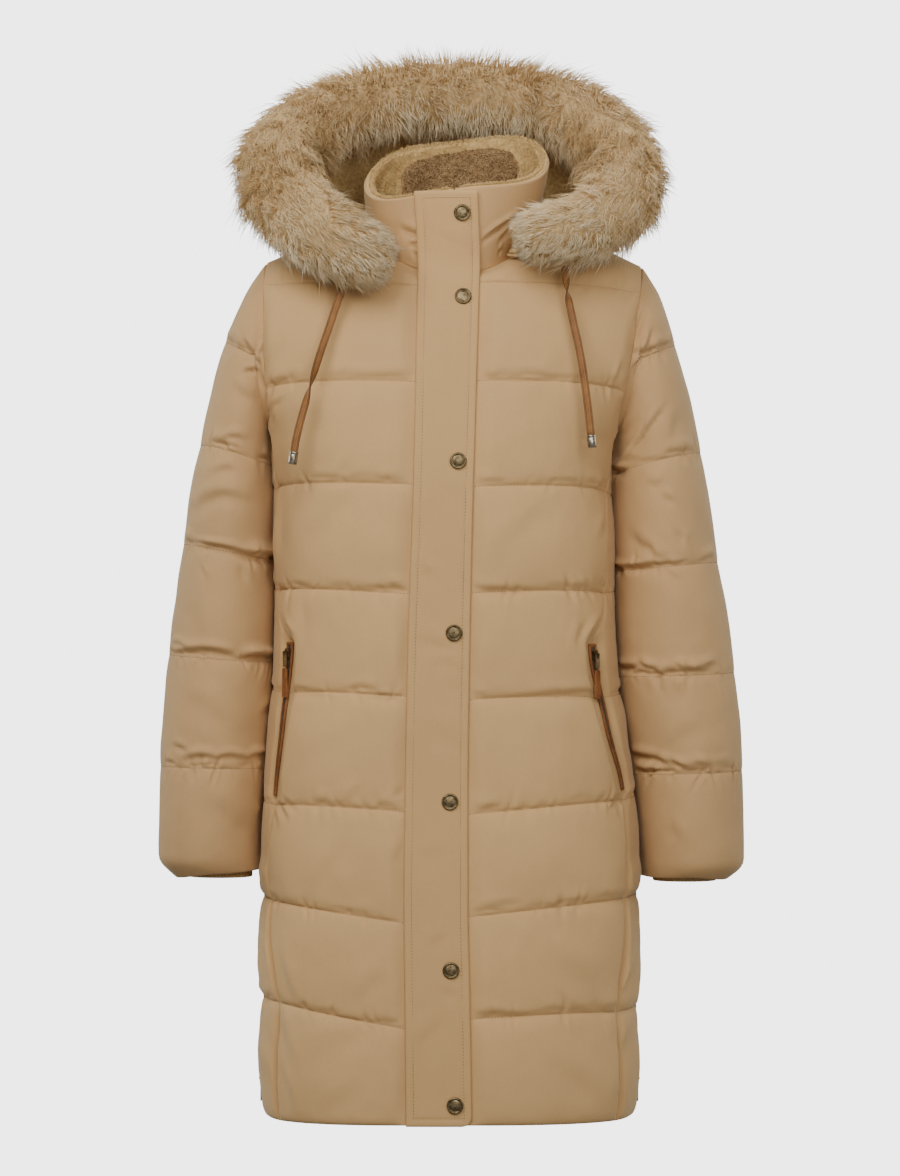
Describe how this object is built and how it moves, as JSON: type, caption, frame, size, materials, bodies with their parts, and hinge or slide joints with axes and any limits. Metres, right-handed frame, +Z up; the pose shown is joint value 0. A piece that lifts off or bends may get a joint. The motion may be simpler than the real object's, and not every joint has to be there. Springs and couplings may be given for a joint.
{
  "type": "quilted parka",
  "caption": "Above-knee quilted down parka as worn, with stand collar, hood laid back with a faux-fur trim, snap placket, zipped pockets and side vents.",
  "frame": {"origin": "between the shoulders, level with the sides of the neck seam, on the line where a wearer's shoulders hold the coat up", "axes": "+Z up along the coat, -Y out of its front, +X to the wearer's left"},
  "size_m": [0.616, 0.3718, 1.1223],
  "materials": {
    "shell": "matt tan woven shell",
    "fur": "long-haired faux fur, tan with lighter tips",
    "plush": "golden short plush",
    "curly_plush": "dark curly plush",
    "rib": "rib knit",
    "leather": "cognac leather, satin",
    "zip_tape": "dark brown woven tape",
    "brass": "antique",
    "nickel": "worn nickel"
  },
  "bodies": {
    "coat": {"back": "shell", "collar_lining": "plush", "collar_shell": "shell", "cord_end_left": "nickel", "cord_end_right": "nickel", "cuff_left": "rib", "cuff_right": "rib", "drawcord_left": "leather", "drawcord_right": "leather", "front_left": "shell", "front_right": "shell", "fur_trim": "fur", "hood_lining": "plush", "hood_shell": "shell", "neck_facing": "curly_plush", "placket": "shell", "pocket_left_slider": "brass", "pocket_left_welt": "leather", "pocket_left_zip": "zip_tape", "pocket_right_slider": "brass", "pocket_right_welt": "leather", "pocket_right_zip": "zip_tape", "side_left": "shell", "side_right": "shell", "sleeve_left": "shell", "sleeve_right": "shell", "snap_1": "brass", "snap_2": "brass", "snap_3": "brass", "snap_4": "brass", "snap_5": "brass", "snap_6": "brass", "snap_7": "brass", "vent_left_slider": "brass", "vent_left_welt": "leather", "vent_left_zip": "zip_tape", "vent_right_slider": "brass", "vent_right_welt": "leather", "vent_right_zip": "zip_tape"},
    "pocket_pull_right": {"pocket_right_pull": "nickel", "pocket_right_tab": "leather"},
    "pocket_pull_left": {"pocket_left_pull": "nickel", "pocket_left_tab": "leather"},
    "vent_pull_right": {"vent_right_pull": "brass"},
    "vent_pull_left": {"vent_left_pull": "brass"}
  },
  "joints": [
    {"name": "pocket_pull_right_hinge", "type": "hinge", "parent": "coat", "child": "pocket_pull_right", "pos_m": [-0.17092, -0.07459, -0.44518], "axis": [-0.5243, 0.8515, 0], "range_deg": [0, 150]},
    {"name": "pocket_pull_left_hinge", "type": "hinge", "parent": "coat", "child": "pocket_pull_left", "pos_m": [0.15235, -0.08445, -0.44699], "axis": [-0.6384, -0.7697, 0], "range_deg": [0, 150]},
    {"name": "vent_pull_right_hinge", "type": "hinge", "parent": "coat", "child": "vent_pull_right", "pos_m": [-0.19852, 0, -0.89225], "axis": [0, 1, 0], "range_deg": [0, 150]},
    {"name": "vent_pull_left_hinge", "type": "hinge", "parent": "coat", "child": "vent_pull_left", "pos_m": [0.19718, 0, -0.89245], "axis": [0, -1, 0], "range_deg": [0, 150]}
  ]
}
